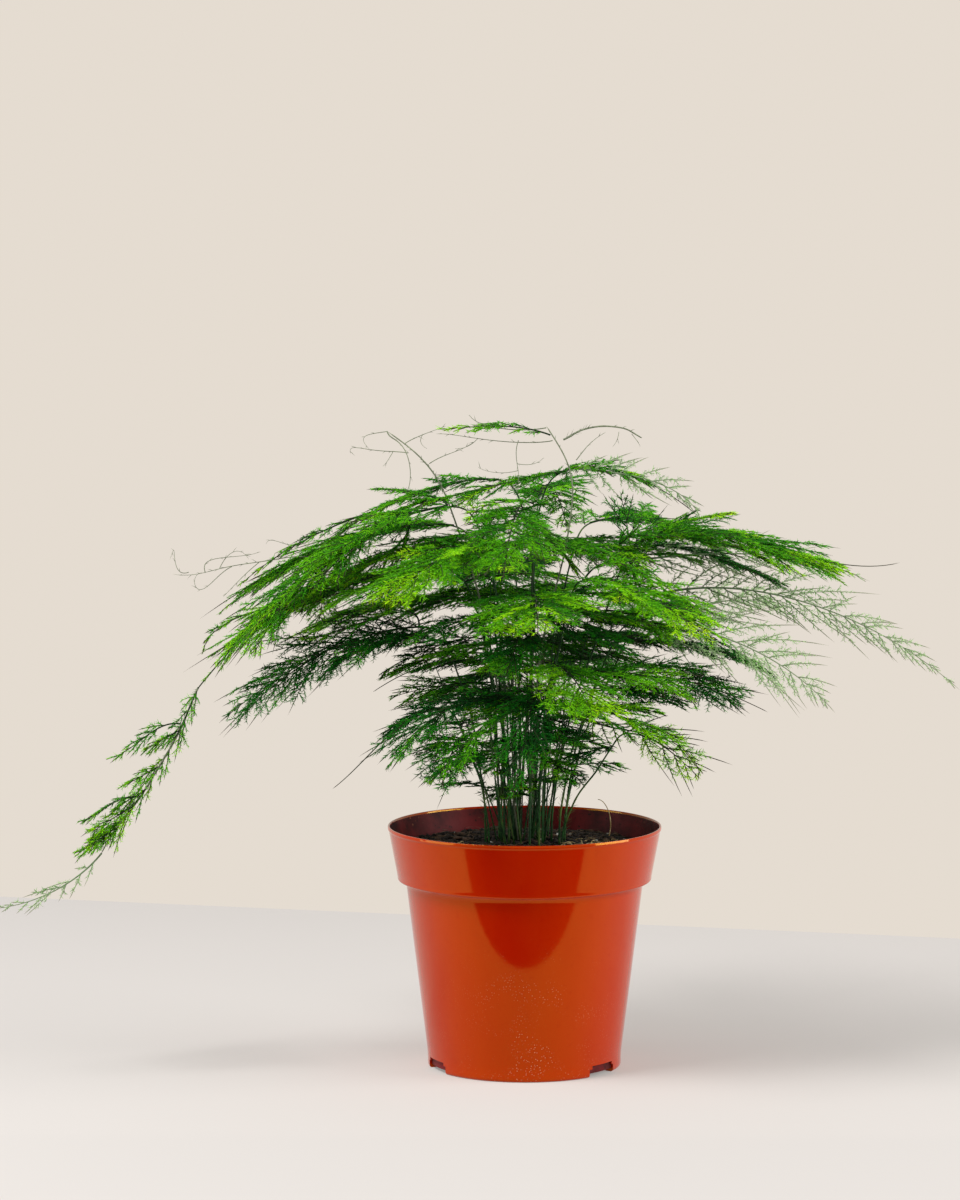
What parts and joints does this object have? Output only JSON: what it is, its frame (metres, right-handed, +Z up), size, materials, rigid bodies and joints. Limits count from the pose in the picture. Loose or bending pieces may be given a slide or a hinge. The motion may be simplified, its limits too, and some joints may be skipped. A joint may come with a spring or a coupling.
{
  "type": "potted asparagus fern",
  "caption": "Potted asparagus fern: flat feathery sprays on wiry arching stems, rooted in soil in a tapered terracotta-coloured plastic nursery pot.",
  "frame": {"origin": "middle of the pot's flat base, on the surface that it stands on", "axes": "+Z up along the pot's axis, +X to the plant's right as seen from its front, -Y towards the front"},
  "size_m": [0.4556, 0.2767, 0.3064],
  "materials": {
    "terracotta_plastic": "satin",
    "potting_soil": "matte",
    "stem_green": "satin",
    "foliage_deep": "matte",
    "foliage_mid": "matte",
    "foliage_young": "matte",
    "foliage_pale": "matte"
  },
  "bodies": {
    "root": {"climbing_shoot": "stem_green", "crown_twig": "stem_green", "forked_shoot": "stem_green", "pot": "terracotta_plastic", "soil": "potting_soil", "spray_arch_back": "foliage_mid", "spray_arch_front": "foliage_mid", "spray_arch_left": "foliage_mid", "spray_arch_right": "foliage_mid", "spray_back_left": "foliage_mid", "spray_back_low": "foliage_deep", "spray_back_low_left": "foliage_deep", "spray_back_mid": "foliage_deep", "spray_back_right": "foliage_mid", "spray_crown": "foliage_young", "spray_front": "foliage_young", "spray_front_dark": "foliage_deep", "spray_front_left": "foliage_young", "spray_front_low": "foliage_young", "spray_front_right": "foliage_young", "spray_front_tip": "foliage_deep", "spray_left_feather": "foliage_mid", "spray_left_mid_back": "foliage_deep", "spray_left_spread": "foliage_mid", "spray_long_left": "foliage_mid", "spray_long_right": "foliage_young", "spray_low_left": "foliage_deep", "spray_low_right": "foliage_pale", "spray_lower_right": "foliage_deep", "spray_lowest_left": "foliage_deep", "spray_lowest_right": "foliage_young", "spray_right_back": "foliage_pale", "spray_right_feather": "foliage_pale", "spray_right_mid": "foliage_deep", "spray_right_sweep": "foliage_pale", "spray_trailing_lower": "foliage_mid", "spray_trailing_tip": "foliage_pale", "spray_trailing_upper": "foliage_mid", "stem_arch_back": "stem_green", "stem_arch_left": "stem_green", "stem_arch_right": "stem_green", "stem_back_left": "stem_green", "stem_back_low": "stem_green", "stem_back_mid": "stem_green", "stem_back_right": "stem_green", "stem_front": "stem_green", "stem_front_left": "stem_green", "stem_front_low": "stem_green", "stem_front_right": "stem_green", "stem_left_spread": "stem_green", "stem_long_left": "stem_green", "stem_long_right": "stem_green", "stem_low_left": "stem_green", "stem_low_right": "stem_green", "stem_lower_right": "stem_green", "stem_lowest_left": "stem_green", "stem_lowest_right": "stem_green", "stem_right_sweep": "stem_green", "trailing_shoot": "stem_green"}
  },
  "joints": []
}
